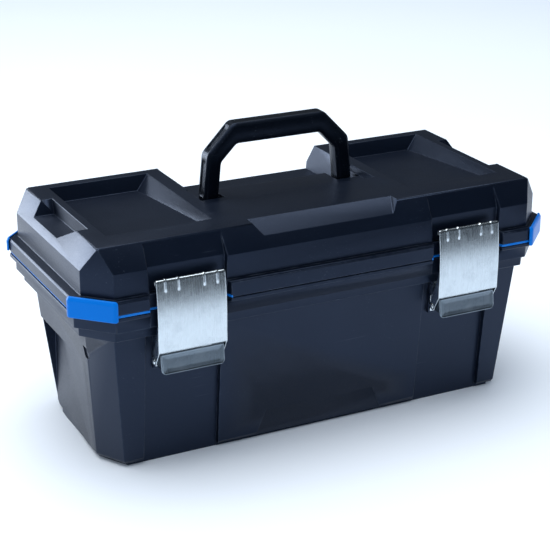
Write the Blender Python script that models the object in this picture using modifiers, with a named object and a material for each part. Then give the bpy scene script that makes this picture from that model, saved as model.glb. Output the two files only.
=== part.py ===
"""Toolbox with a lift-out tray, a folding carrying handle and two draw latches.

Metres, +Z up.  X runs along the box, -Y is the front, and the origin is on
the ground under the middle of the box.  The lid is modelled closed.
"""

import math

import bmesh
import bpy
import numpy as np
from mathutils import Matrix, Vector

# ---- fits -------------------------------------------------------------------
GAP = 0.0003            # between two pieces that touch
WALL = 0.0028           # moulded wall of the tub and the lid
PIN_PLAY = 0.0003       # a hole is this much larger in radius than its pin
ROUND_SIDES = 20
FLATNESS = 1e-7         # a face bent more than this is split into triangles

# ---- tub --------------------------------------------------------------------
RIM_LENGTH = 0.510
RIM_DEPTH = 0.236
RIM_CORNER = 0.0316
SEAM_Z = 0.169          # height of the parting between tub and lid
SEAL_HEIGHT = 0.0024
SEAL_WIDTH = 0.009
SEAL_END_INSET = 0.0012 # the band lies this far inside the rim's ends
SKIRT_THICK = 0.0026    # the lid's skirt that hides the band between the latches
SKIRT_ROOM = 0.0008     # between the skirt and the band behind it
SHOULDER_Z = SEAM_Z - 0.029          # the wall ends here and the collar starts
SHOULDER_LENGTH = RIM_LENGTH - 0.038
SHOULDER_DEPTH = RIM_DEPTH - 0.036
BASE_LENGTH = SHOULDER_LENGTH - 0.0214
BASE_DEPTH = SHOULDER_DEPTH - 0.0244
BASE_Z = 0.004          # height of the foot ring
BASE_EDGE = 0.003       # chamfer above the foot ring
FOOT_INSET = 0.005
POST_X = 0.017          # facet on the tub's four upright corners
POST_Y = 0.030
COLLAR_OUT = 0.0085     # the collar's first step stands out by this
COLLAR_STEP = 0.011
COLLAR_INSET = 0.0045   # the second step stays this far inside the rim
RIM_THICK = 0.005
RIM_UNDERCUT = 0.001
COLLAR_1_CORNER = (0.024, 0.030)
COLLAR_2_CORNER = (0.029, 0.031)
MOUTH_CORNER = (0.022, 0.029)
END_TOP_Z = SHOULDER_Z - 0.037       # top of the wedge hollow in each end
END_DEEP = (0.006, 0.017)            # its depth at the bottom and at the top
DIMPLE_Z = (END_TOP_Z + 0.008, END_TOP_Z + 0.019)
DIMPLE_WIDTH = 0.009
DIMPLE_LEAN = 0.002
TOE_DEEP = 0.0014
TOE_TOP_Z = 0.0295
TOE_HALF = (0.0740, 0.0600)          # half width at the bottom and at the top

# ---- lid --------------------------------------------------------------------
LEDGE_Z = SEAM_Z + 0.0145
LEDGE_EDGE = 0.002
KNEE_Z = SEAM_Z + 0.0385             # the lid's walls lean inwards above this
LID_TOP_Z = SEAM_Z + 0.060
LID_WALL_LENGTH = RIM_LENGTH - 0.020
LID_WALL_DEPTH = RIM_DEPTH - 0.0128
LID_CORNER = 0.0233
LID_TOP_LENGTH = LID_WALL_LENGTH - 0.027
LID_TOP_DEPTH = LID_WALL_DEPTH - 0.0262
TOP_EDGE = 0.0015
ABOVE = 0.004           # a cutter that opens upwards ends this far above the lid
BEYOND = 0.012          # a cutter that opens outwards ends this far outside the rim

# ---- carrying handle --------------------------------------------------------
HANDLE_LENGTH = 0.164
HANDLE_Y = 0.008
HANDLE_PIVOT_Z = LID_TOP_Z - 0.0155
HANDLE_TOP_Z = HANDLE_PIVOT_Z + 0.0825
HANDLE_THICK = 0.018
HANDLE_BAR = 0.021
HANDLE_CHAMFER = 0.003
LEG_WIDTH = 0.016
LEG_END = 0.0085        # reach of the leg below its pivot, with room
HANDLE_PIN_R = 0.003
SLOT_SIDE = 0.0065      # room beside each leg
SLOT_FRONT = 0.004
WELL_HALF = HANDLE_LENGTH / 2 + SLOT_SIDE
WELL_Y = HANDLE_Y + 0.012
WELL_Z = HANDLE_PIVOT_Z - LEG_END - 0.005
WELL_LEAN = 0.003

# ---- top of the lid -----------------------------------------------------------
POCKET_X = (WELL_HALF + 0.0175, LID_TOP_LENGTH / 2 - 0.0195)
POCKET_Y = (-LID_TOP_DEPTH / 2 + 0.0285, LID_TOP_DEPTH / 2 - 0.0125)
POCKET_FLOOR = (LID_TOP_Z - 0.0075, LID_TOP_Z - 0.0150)   # front, rear
POCKET_SIDE = 0.014     # run of the leaning side walls at the deep end
POCKET_FRONT = 0.018
POCKET_REAR = 0.005
DECK_DROP = 0.0045
DECK_STEP_Y = -0.026
STRIP_HALF = 0.080      # of the front bevel at its upper edge
STRIP_LEAN = 0.010      # its ends run in by this at its lower edge
STRIP_BACK = 0.0135
STRIP_DROP = 0.0115
NOTCH_DEEP = 0.012
NOTCH_DROP = 0.0145
NOTCH_Y = (-LID_TOP_DEPTH / 2 + 0.0465, LID_TOP_DEPTH / 2 - 0.0435)
NOTCH_LEAN = (0.036, 0.006)          # run of its front and rear walls

# ---- bumpers ------------------------------------------------------------------
BUMPER_OUT = 0.0025
BUMPER_ARM = 0.0035
BUMPER_TAPER = 0.003
BUMPER_SKIRT = 0.0035   # reach of the front pair below the tub's rim

# ---- latches ----------------------------------------------------------------
LATCH_X = RIM_LENGTH / 2 - 0.1055
HOOK_HALF = 0.0345
HOOK_SIDE = 0.004       # room beside the hook in its channel
CHANNEL_HALF = HOOK_HALF + HOOK_SIDE # half width of the channel's floor
CHANNEL_SLANT = 0.0035
CHANNEL_DEEP = 0.005
FLANGE_CHANNEL_Y = -RIM_DEPTH / 2 + 0.0054
PIVOT_Y = -RIM_DEPTH / 2 + 0.008
PIVOT_Z = SEAM_Z - 0.038
HOOK_PIN_Y = PIVOT_Y + 0.001
HOOK_PIN_Z = PIVOT_Z - 0.016
LATCH_PIN_R = 0.0015
PIN_HEAD_R = 0.0030
PIN_HEAD = 0.0014
SHEET = 0.0012
FLAP_HALF = HOOK_HALF - 0.0025
FLAP_SHEET = 0.0014
BRACKET_HALF = FLAP_HALF - 0.003
BRACKET_Z = (HOOK_PIN_Z - 0.011, PIVOT_Z + 0.006)
PAD_Y = -RIM_DEPTH / 2 + 0.022       # flat pad that carries the bracket
PAD_HALF = BRACKET_HALF + 0.001
PAD_BOTTOM_Z = BRACKET_Z[0] - 0.003
RIVET_X = 0.018
RIVET_Z = HOOK_PIN_Z - 0.003
RIVET_R = 0.0016
RIVET_HEAD_R = 0.0032
RIVET_HEAD = 0.0013
EAR_R = 0.0045
BORE_REACH = HOOK_HALF + 0.0055      # half length of the cutters that bore the latch's pin holes

# ---- hinges -----------------------------------------------------------------
HINGE_X = RIM_LENGTH / 2 - 0.115
HINGE_Y = RIM_DEPTH / 2 - 0.0005
KNUCKLE_R = 0.0042
KNUCKLE_LID = 0.016     # length of the lid's knuckle
KNUCKLE_TUB = 0.014     # length of each of the tub's knuckles
KNUCKLE_WEB = 0.011
HINGE_PIN_R = 0.0015
HINGE_NOTCH = 0.0007    # room around a knuckle

# ---- tray -------------------------------------------------------------------
TRAY_STEP_Z = SEAM_Z - 0.026         # ledge inside the tub that carries the tray
TRAY_BOTTOM_Z = TRAY_STEP_Z - 0.043
TRAY_WALL = 0.002
TRAY_RIM = 0.003
TRAY_PLAY = 0.0015
DIVIDER_X = 0.076
DIVIDER_THICK = 0.002
RIB = 0.002
LUG_HALF = 0.007
LUG_THICK = 0.004
TRAY_PIVOT_Z = TRAY_STEP_Z - 0.007
TRAY_HANDLE_HALF = DIVIDER_X - 0.018
TRAY_HANDLE_REACH = 0.036
TRAY_HANDLE_BAR = 0.009
TRAY_HANDLE_LEG = 0.006
TRAY_HANDLE_R = 0.0032
TRAY_STUB_R = 0.0018

SIDES = ((-1, "left"), (1, "right"))
BLACK = (0.018, 0.021, 0.028, 1.0)
BLACK_GRIP = (0.010, 0.011, 0.013, 1.0)
BLUE = (0.0, 0.17, 0.72, 1.0)
ZINC = (0.62, 0.66, 0.70, 1.0)
GREY = (0.10, 0.11, 0.13, 1.0)


# ---- scene helpers ----------------------------------------------------------
def clear_scene():
    for obj in list(bpy.data.objects):
        bpy.data.objects.remove(obj, do_unlink=True)


def new_collection(name):
    collection = bpy.data.collections.new(name)
    bpy.context.scene.collection.children.link(collection)
    return collection


def material(name, colour, roughness, metallic):
    mat = bpy.data.materials.new(name)
    mat.use_nodes = True
    shader = mat.node_tree.nodes["Principled BSDF"]
    shader.inputs["Base Color"].default_value = colour
    shader.inputs["Roughness"].default_value = roughness
    shader.inputs["Metallic"].default_value = metallic
    return mat


clear_scene()
PARTS = new_collection("toolbox_with_tray")
CUTTERS = new_collection("cutters")


def split_bent_faces(bm):
    """Triangulate the faces whose corners aren't in one plane."""
    bent = []
    for face in bm.faces:
        middle = face.calc_center_median()
        off_plane = max(abs((vert.co - middle).dot(face.normal)) for vert in face.verts)
        if off_plane > FLATNESS:
            bent.append(face)
    bmesh.ops.triangulate(bm, faces=bent)


def add_object(name, bm, collection, origin=(0.0, 0.0, 0.0)):
    """Turn a bmesh in world coordinates into an object whose origin is `origin`."""
    bmesh.ops.recalc_face_normals(bm, faces=bm.faces)
    bm.normal_update()
    split_bent_faces(bm)
    bmesh.ops.translate(bm, vec=-Vector(origin), verts=bm.verts)
    mesh = bpy.data.meshes.new(name)
    bm.to_mesh(mesh)
    bm.free()
    obj = bpy.data.objects.new(name, mesh)
    obj.location = origin
    collection.objects.link(obj)
    return obj


def part(name, bm, colour, roughness=0.45, metallic=0.0, origin=(0.0, 0.0, 0.0)):
    obj = add_object(name, bm, PARTS, origin)
    obj.data.materials.append(material(name, colour, roughness, metallic))
    return obj


def helper(name, bm):
    obj = add_object(name, bm, CUTTERS)
    obj.hide_render = True
    obj.display_type = "WIRE"
    return obj


def combine_object(obj, other, operation, name):
    mod = obj.modifiers.new(name, "BOOLEAN")
    mod.operation = operation
    mod.solver = "EXACT"
    mod.object = other


def combine(obj, bm, operation, name):
    """Boolean the solid in `bm` into `obj`."""
    combine_object(obj, helper(f"{obj.name}_{name}", bm), operation, name)


# ---- shape helpers ----------------------------------------------------------
def hexahedron(bottom, top):
    """A cube whose corners are moved: four points (x, y, z) below, four above.

    Each four run (-x, -y), (+x, -y), (+x, +y), (-x, +y).
    """
    bm = bmesh.new()
    bmesh.ops.create_cube(bm, size=2.0)
    order = {(-1, -1): 0, (1, -1): 1, (1, 1): 2, (-1, 1): 3}
    for vert in bm.verts:
        key = (round(vert.co.x), round(vert.co.y))
        target = top if vert.co.z > 0 else bottom
        vert.co = Vector(target[order[key]])
    return bm


def block(x0, x1, y0, y1, z0, z1):
    corners = [(x0, y0), (x1, y0), (x1, y1), (x0, y1)]
    return hexahedron([(x, y, z0) for x, y in corners], [(x, y, z1) for x, y in corners])


def rod(start, end, radius, sides=ROUND_SIDES):
    """A cylinder from one point to another, its round side shaded smooth."""
    start, end = Vector(start), Vector(end)
    bm = bmesh.new()
    bmesh.ops.create_cone(bm, cap_ends=True, segments=sides, radius1=radius,
                          radius2=radius, depth=(end - start).length)
    turn = (end - start).to_track_quat("Z", "Y").to_matrix().to_4x4()
    bmesh.ops.transform(bm, matrix=Matrix.Translation((start + end) / 2) @ turn, verts=bm.verts)
    for face in bm.faces:
        face.smooth = len(face.verts) == 4
    return bm


def rod_x(x0, x1, y, z, radius, sides=ROUND_SIDES):
    return rod((x0, y, z), (x1, y, z), radius, sides)


def ring_points(half_x, half_y, corner_x, corner_y, z):
    """A rectangle with cut corners, anticlockwise from the front left."""
    hx, hy, cx, cy = half_x, half_y, corner_x, corner_y
    return [(-hx, -hy + cy, z), (-hx + cx, -hy, z), (hx - cx, -hy, z), (hx, -hy + cy, z),
            (hx, hy - cy, z), (hx - cx, hy, z), (-hx + cx, hy, z), (-hx, hy - cy, z)]


def loft(rings):
    """A closed solid through rings of cut-corner rectangles of unlike shape."""
    bm = bmesh.new()
    rows = [[bm.verts.new(p) for p in ring_points(*ring)] for ring in rings]
    count = len(rows[0])
    for low, high in zip(rows, rows[1:]):
        for i in range(count):
            j = (i + 1) % count
            bm.faces.new((low[i], low[j], high[j], high[i]))
    bm.faces.new(rows[0][::-1])
    bm.faces.new(rows[-1])
    return bm


def prism(outline, axis, start, end):
    """Extrude a flat outline along X (points y, z) or along Y (points x, z)."""
    place = {"x": lambda a, b: (start, a, b), "y": lambda a, b: (a, start, b)}[axis]
    move = {"x": (end - start, 0, 0), "y": (0, end - start, 0)}[axis]
    bm = bmesh.new()
    face = bm.faces.new([bm.verts.new(place(a, b)) for a, b in outline])
    out = bmesh.ops.extrude_face_region(bm, geom=[face])
    verts = [v for v in out["geom"] if isinstance(v, bmesh.types.BMVert)]
    bmesh.ops.translate(bm, vec=move, verts=verts)
    return bm


def arc(centre, radius, start, end, steps):
    """Points on a circle, angles in degrees anticlockwise from the first axis."""
    angles = np.radians(np.linspace(start, end, steps + 1))
    return [(centre[0] + radius * math.cos(a), centre[1] + radius * math.sin(a)) for a in angles]


def strip_outline(points, thickness):
    """The closed outline of a sheet bent along `points`."""
    line = np.array(points)
    tangent = np.gradient(line, axis=0)
    tangent /= np.linalg.norm(tangent, axis=1)[:, None]
    normal = np.stack([-tangent[:, 1], tangent[:, 0]], axis=1) * thickness / 2
    return [tuple(p) for p in np.concatenate([line + normal, (line - normal)[::-1]])]


# ---- profiles shared by a shell and what cuts it ------------------------------
def tub_wall_y(z):
    """Half depth of the tub's outer wall at height z."""
    share = (z - BASE_Z) / (SHOULDER_Z - BASE_Z)
    return (BASE_DEPTH + (SHOULDER_DEPTH - BASE_DEPTH) * share) / 2


def tub_wall_x(z):
    share = (z - BASE_Z) / (SHOULDER_Z - BASE_Z)
    return (BASE_LENGTH + (SHOULDER_LENGTH - BASE_LENGTH) * share) / 2


def channel(side, outline, grow):
    """A latch channel: an outline (y, z) along X, wider at its mouth."""
    centre = side * LATCH_X
    half = CHANNEL_HALF + grow
    bm = prism(outline, "x", centre - half, centre + half)
    mouth = min(y for y, _ in outline)
    for vert in bm.verts:
        if vert.co.y < mouth + GAP:
            vert.co.x += math.copysign(2 * CHANNEL_SLANT, vert.co.x - centre)
    return bm


def tub_channel(side, grow=0.0):
    low, high = -BASE_Z, SHOULDER_Z
    deep = CHANNEL_DEEP + grow
    outside, top = -RIM_DEPTH / 2 - BEYOND, SEAM_Z + BEYOND
    outline = [(outside, low), (-tub_wall_y(low) + deep, low), (-tub_wall_y(high) + deep, high - 2 * grow),
               (FLANGE_CHANNEL_Y + grow, high - 2 * grow), (FLANGE_CHANNEL_Y + grow, top), (outside, top)]
    return channel(side, outline, grow)


def lid_channel(side, grow=0.0):
    outside, low = -RIM_DEPTH / 2 - BEYOND, SEAM_Z - BEYOND
    floor_y = -LID_WALL_DEPTH / 2 + CHANNEL_DEEP + grow
    outline = [(outside, low), (FLANGE_CHANNEL_Y + grow, low),
               (FLANGE_CHANNEL_Y + grow, LEDGE_Z), (floor_y, LEDGE_Z), (floor_y, KNEE_Z),
               (-LID_TOP_DEPTH / 2 + grow, LID_TOP_Z - TOP_EDGE), (outside, LID_TOP_Z - TOP_EDGE)]
    return channel(side, outline, grow)


def lid_pocket(side, grow=0.0):
    """A shallow pocket with leaning walls, its floor falling to the rear."""
    x0, x1 = POCKET_X[0] - grow, POCKET_X[1] + grow
    if side < 0:
        x0, x1 = -x1, -x0
    y0, y1 = POCKET_Y[0] - grow, POCKET_Y[1] + grow
    top = LID_TOP_Z + GAP
    front, rear = POCKET_FLOOR[0] - grow, POCKET_FLOOR[1] - grow
    run_front = POCKET_SIDE * (top - front) / (top - rear)
    low_y0, low_y1 = y0 + POCKET_FRONT, y1 - POCKET_REAR
    bottom = [(x0 + run_front, low_y0, front), (x1 - run_front, low_y0, front),
              (x1 - POCKET_SIDE, low_y1, rear), (x0 + POCKET_SIDE, low_y1, rear)]
    return hexahedron(bottom, [(x0, y0, top), (x1, y0, top), (x1, y1, top), (x0, y1, top)])


def handle_well(grow=0.0):
    """The hollow behind the deck where the folded handle lies, open to the rear."""
    half, y0, y1 = WELL_HALF + grow, WELL_Y - grow, RIM_DEPTH
    z0, z1, lean = WELL_Z - grow, LID_TOP_Z + ABOVE, WELL_LEAN
    return hexahedron([(-half, y0, z0), (half, y0, z0), (half, y1, z0), (-half, y1, z0)],
                      [(-half - lean, y0, z1), (half + lean, y0, z1),
                       (half + lean, y1, z1), (-half - lean, y1, z1)])


def leg_slot(side, grow=0.0):
    inner = HANDLE_LENGTH / 2 - LEG_WIDTH - SLOT_SIDE / 2 - grow
    outer = WELL_HALF + grow
    x0, x1 = sorted((side * inner, side * outer))
    front = HANDLE_Y - LEG_END - SLOT_FRONT - grow
    return block(x0, x1, front, WELL_Y + ABOVE / 4, WELL_Z - grow, LID_TOP_Z + ABOVE)


def deck_step(grow=0.0):
    """The rear of the deck lies a little lower, with leaning ends."""
    z0, z1 = LID_TOP_Z - DECK_DROP - grow, LID_TOP_Z + ABOVE
    half, wide = WELL_HALF + grow, WELL_HALF + 2 * DECK_DROP + grow
    y1 = WELL_Y + ABOVE / 4
    low_y, high_y = DECK_STEP_Y - grow + DECK_DROP, DECK_STEP_Y - grow - DECK_DROP
    return hexahedron([(-half, low_y, z0), (half, low_y, z0), (half, y1, z0), (-half, y1, z0)],
                      [(-wide, high_y, z1), (wide, high_y, z1), (wide, y1, z1), (-wide, y1, z1)])


def front_strip():
    """The shallow bevel along the middle of the lid's front top edge."""
    back_y = -LID_TOP_DEPTH / 2 + STRIP_BACK
    fall = (LID_TOP_DEPTH - LID_WALL_DEPTH) / 2 / (LID_TOP_Z - KNEE_Z)
    front = (-LID_TOP_DEPTH / 2 + fall * STRIP_DROP, LID_TOP_Z - STRIP_DROP)
    slope = (back_y - front[0], LID_TOP_Z - front[1])
    far = (front[0] - slope[0], front[1] - slope[1])
    near = (back_y + slope[0] / 4, LID_TOP_Z + slope[1] / 4)
    bm = prism([near, far, (far[0], near[1])], "x", -STRIP_HALF, STRIP_HALF)
    for vert in bm.verts:
        if vert.co.z < front[1]:
            vert.co.x -= math.copysign(2 * STRIP_LEAN, vert.co.x)
    return bm


def end_notch(side):
    """The chamfered notch in each end of the lid's top edge."""
    inner = side * (LID_TOP_LENGTH / 2 - NOTCH_DEEP)
    outer = side * RIM_LENGTH / 2
    low, high = LID_TOP_Z - NOTCH_DROP, LID_TOP_Z + ABOVE
    (front, rear), (front_lean, rear_lean) = NOTCH_Y, NOTCH_LEAN
    outline = [(rear, high), (rear - rear_lean, low), (front + front_lean, low), (front, high)]
    x0, x1 = sorted((inner, outer))
    return prism(outline, "x", x0, x1)


def end_recess(side, grow=0.0):
    """The wedge hollow in each end wall: deep at the rear, running out forwards."""
    out = side * (RIM_LENGTH / 2)
    y0, y1 = -BASE_DEPTH / 2 + 0.038, BASE_DEPTH / 2 - 0.016 + grow
    top_z, low_z = END_TOP_Z + grow, -BASE_Z
    deep_top = side * (tub_wall_x(top_z) - END_DEEP[1] - grow)
    deep_low = side * (tub_wall_x(low_z) - END_DEEP[0] - grow)
    flush_top = side * (tub_wall_x(top_z) + GAP - grow)
    flush_low = side * (tub_wall_x(low_z) + GAP - grow)
    bottom = [(flush_low, y0, low_z), (out, y0, low_z), (out, y1, low_z), (deep_low, y1, low_z)]
    top = [(flush_top, y0, top_z), (out, y0, top_z), (out, y1, top_z), (deep_top, y1, top_z)]
    if side < 0:
        bottom = [bottom[1], bottom[0], bottom[3], bottom[2]]
        top = [top[1], top[0], top[3], top[2]]
    return hexahedron(bottom, top)


def end_dimple(side):
    """The small leaning recess beside the front corner post of each end."""
    front = -SHOULDER_DEPTH / 2 + POST_Y
    rows = []
    for z, shift in zip(DIMPLE_Z, (-DIMPLE_LEAN, DIMPLE_LEAN)):
        x0, x1 = sorted((side * (tub_wall_x(z) - WALL / 2), side * (tub_wall_x(z) + BEYOND)))
        y0, y1 = front + shift, front + shift + DIMPLE_WIDTH
        rows.append([(x0, y0, z), (x1, y0, z), (x1, y1, z), (x0, y1, z)])
    return hexahedron(*rows)


def toe_recess():
    """The shallow trapezoid at the bottom of the front."""
    z0, z1 = -BASE_Z, TOE_TOP_Z
    low, high = TOE_HALF
    back = [-tub_wall_y(z) + TOE_DEEP for z in (z0, z1)]
    out = -RIM_DEPTH / 2
    return hexahedron([(-low, out, z0), (low, out, z0), (low, back[0], z0), (-low, back[0], z0)],
                      [(-high, out, z1), (high, out, z1), (high, back[1], z1), (-high, back[1], z1)])


# ---- tub --------------------------------------------------------------------
def rim_ring(z, grow=0.0):
    """The rim's outline at height z, moved outwards by `grow` on every face."""
    corner = RIM_CORNER + grow * (2 - math.sqrt(2))
    return (RIM_LENGTH / 2 + grow, RIM_DEPTH / 2 + grow, corner, corner, z)


TUB_TOP_Z = SEAM_Z - SEAL_HEIGHT / 2
COLLAR_1 = (SHOULDER_LENGTH / 2 + COLLAR_OUT, SHOULDER_DEPTH / 2 + COLLAR_OUT * 0.9)
COLLAR_2 = (RIM_LENGTH / 2 - COLLAR_INSET, RIM_DEPTH / 2 - COLLAR_INSET)
MOUTH = (COLLAR_1[0] - WALL / 2, COLLAR_1[1] - WALL)


def tub_outer():
    x0, y0 = BASE_LENGTH / 2, BASE_DEPTH / 2
    foot, edge = FOOT_INSET, BASE_EDGE
    mid = SHOULDER_Z + COLLAR_STEP
    return loft([(x0 - foot, y0 - foot, POST_X, POST_Y, 0.0), (x0 - foot, y0 - foot, POST_X, POST_Y, BASE_Z),
                 (x0 - edge / 2, y0 - edge / 2, POST_X, POST_Y, BASE_Z),
                 (tub_wall_x(BASE_Z + edge), tub_wall_y(BASE_Z + edge), POST_X, POST_Y, BASE_Z + edge),
                 (SHOULDER_LENGTH / 2, SHOULDER_DEPTH / 2, POST_X, POST_Y, SHOULDER_Z),
                 (*COLLAR_1, *COLLAR_1_CORNER, SHOULDER_Z), (*COLLAR_1, *COLLAR_1_CORNER, mid),
                 (*COLLAR_2, *COLLAR_2_CORNER, mid), (*COLLAR_2, *COLLAR_2_CORNER, TUB_TOP_Z - RIM_THICK),
                 rim_ring(TUB_TOP_Z - RIM_THICK + RIM_UNDERCUT), rim_ring(TUB_TOP_Z - GAP)])


def tub_cavity():
    rings = []
    for z in (BASE_Z + WALL, TRAY_STEP_Z):
        rings.append((tub_wall_x(z) - WALL, tub_wall_y(z) - WALL, POST_X, POST_Y, z))
    for z in (TRAY_STEP_Z, TUB_TOP_Z + ABOVE):
        rings.append((*MOUTH, *MOUTH_CORNER, z))
    return loft(rings)


def hinge_span(side, part_name):
    """X ranges of the knuckles of one part at one hinge."""
    centre, lid_half = side * HINGE_X, KNUCKLE_LID / 2
    if part_name == "lid":
        return [(centre - lid_half, centre + lid_half)]
    near, far = lid_half + GAP, lid_half + GAP + KNUCKLE_TUB
    return [(centre - far, centre - near), (centre + near, centre + far)]


def add_knuckles(obj, part_name):
    """Barrels on a web, the partner's room, and the bore for the pin."""
    other = "tub" if part_name == "lid" else "lid"
    web = (SEAM_Z, SEAM_Z + KNUCKLE_WEB) if part_name == "lid" else (SEAM_Z - KNUCKLE_WEB, SEAM_Z)
    for side, tag in SIDES:
        for i, (x0, x1) in enumerate(hinge_span(side, other)):
            room = rod_x(x0 - GAP, x1 + GAP, HINGE_Y, SEAM_Z, KNUCKLE_R + HINGE_NOTCH)
            combine(obj, room, "DIFFERENCE", f"room_{tag}_{i}")
        for i, (x0, x1) in enumerate(hinge_span(side, part_name)):
            combine(obj, rod_x(x0, x1, HINGE_Y, SEAM_Z, KNUCKLE_R), "UNION", f"barrel_{tag}_{i}")
            base = block(x0, x1, HINGE_Y - KNUCKLE_R, HINGE_Y + KNUCKLE_R * 0.985, *web)
            combine(obj, base, "UNION", f"web_{tag}_{i}")
        reach = KNUCKLE_LID / 2 + KNUCKLE_TUB + 0.001
        bore = rod_x(side * HINGE_X - reach, side * HINGE_X + reach, HINGE_Y, SEAM_Z, HINGE_PIN_R + PIN_PLAY)
        combine(obj, bore, "DIFFERENCE", f"bore_{tag}")


def latch_pad(side):
    """Raised flat on the channel floor that the bracket is riveted to."""
    x0, x1 = side * LATCH_X - PAD_HALF, side * LATCH_X + PAD_HALF
    rows = []
    for z in (PAD_BOTTOM_Z, SHOULDER_Z + 0.001):
        back = -tub_wall_y(z) + CHANNEL_DEEP + WALL / 2
        rows.append([(x0, PAD_Y, z), (x1, PAD_Y, z), (x1, back, z), (x0, back, z)])
    return hexahedron(*rows)


def rivet_spots(side):
    return [side * LATCH_X - RIVET_X, side * LATCH_X + RIVET_X]


def make_tub():
    tub = part("body_shell", tub_outer(), BLACK, 0.42)
    for side in (-1, 1):
        combine(tub, tub_channel(side), "DIFFERENCE", f"channel_{side + 1}")
        combine(tub, end_recess(side), "DIFFERENCE", f"end_{side + 1}")
        combine(tub, end_dimple(side), "DIFFERENCE", f"dimple_{side + 1}")
    combine(tub, toe_recess(), "DIFFERENCE", "toe")
    cavity = helper("body_cavity", tub_cavity())
    for side in (-1, 1):
        combine(cavity, tub_channel(side, WALL), "DIFFERENCE", f"channel_{side + 1}")
        combine(cavity, end_recess(side, WALL), "DIFFERENCE", f"end_{side + 1}")
    combine_object(tub, cavity, "DIFFERENCE", "hollow")
    for side in (-1, 1):
        combine(tub, latch_pad(side), "UNION", f"pad_{side + 1}")
        for i, x in enumerate(rivet_spots(side)):
            hole = rod((x, PAD_Y - 0.004, RIVET_Z), (x, PAD_Y + 0.012, RIVET_Z), RIVET_R + PIN_PLAY, 12)
            combine(tub, hole, "DIFFERENCE", f"rivet_{side + 1}_{i}")
    add_knuckles(tub, "tub")


def between_latches(back, z0, z1, gap=0.0):
    """A block along the rim's front from one latch channel to the other."""
    half = LATCH_X - CHANNEL_HALF - CHANNEL_SLANT - gap
    return block(-half, half, -RIM_DEPTH / 2, -RIM_DEPTH / 2 + back, z0, z1)


def make_seal():
    bottom, top = TUB_TOP_Z, TUB_TOP_Z + SEAL_HEIGHT
    length, depth, *corner = rim_ring(bottom)[:4]
    ends = (length - SEAL_END_INSET, depth, *corner)
    seal = part("seal_band", loft([(*ends, bottom), (*ends, top)]), BLUE, 0.4)
    front = between_latches(SKIRT_THICK + SKIRT_ROOM, bottom - ABOVE, top + ABOVE, -GAP)
    combine(seal, front, "DIFFERENCE", "front")
    corner = RIM_CORNER * 0.85
    inner = (RIM_LENGTH / 2 - SEAL_WIDTH, RIM_DEPTH / 2 - SEAL_WIDTH, corner, corner)
    combine(seal, loft([(*inner, bottom - 0.001), (*inner, top + 0.001)]), "DIFFERENCE", "inside")
    reach = KNUCKLE_LID / 2 + KNUCKLE_TUB + 0.001
    for side in (-1, 1):
        combine(seal, tub_channel(side), "DIFFERENCE", f"channel_{side + 1}")
        room = block(side * HINGE_X - reach, side * HINGE_X + reach, HINGE_Y - KNUCKLE_R - HINGE_NOTCH,
                     RIM_DEPTH, bottom - 0.001, top + 0.001)
        combine(seal, room, "DIFFERENCE", f"hinge_{side + 1}")


# ---- lid --------------------------------------------------------------------
LID_BOTTOM_Z = TUB_TOP_Z + SEAL_HEIGHT + GAP
LID_WALL = (LID_WALL_LENGTH / 2, LID_WALL_DEPTH / 2, LID_CORNER, LID_CORNER)


def lid_outer():
    top = (LID_TOP_LENGTH / 2, LID_TOP_DEPTH / 2, TOP_EDGE, TOP_EDGE)
    crown = (top[0] - TOP_EDGE, top[1] - TOP_EDGE, TOP_EDGE, TOP_EDGE)
    return loft([rim_ring(LID_BOTTOM_Z), rim_ring(LEDGE_Z - LEDGE_EDGE), rim_ring(LEDGE_Z, -TOP_EDGE),
                 (*LID_WALL, LEDGE_Z), (*LID_WALL, KNEE_Z),
                 (*top, LID_TOP_Z - TOP_EDGE), (*crown, LID_TOP_Z)])


def lid_cavity():
    x, y, cx, cy = LID_WALL
    side = (x - WALL, y - WALL, cx - WALL / 2, cy - WALL / 2)
    top = (LID_TOP_LENGTH / 2 - WALL, LID_TOP_DEPTH / 2 - WALL, 0.002, 0.002)
    return loft([(*side, LID_BOTTOM_Z - 0.005), (*side, KNEE_Z), (*top, LID_TOP_Z - WALL)])


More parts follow.
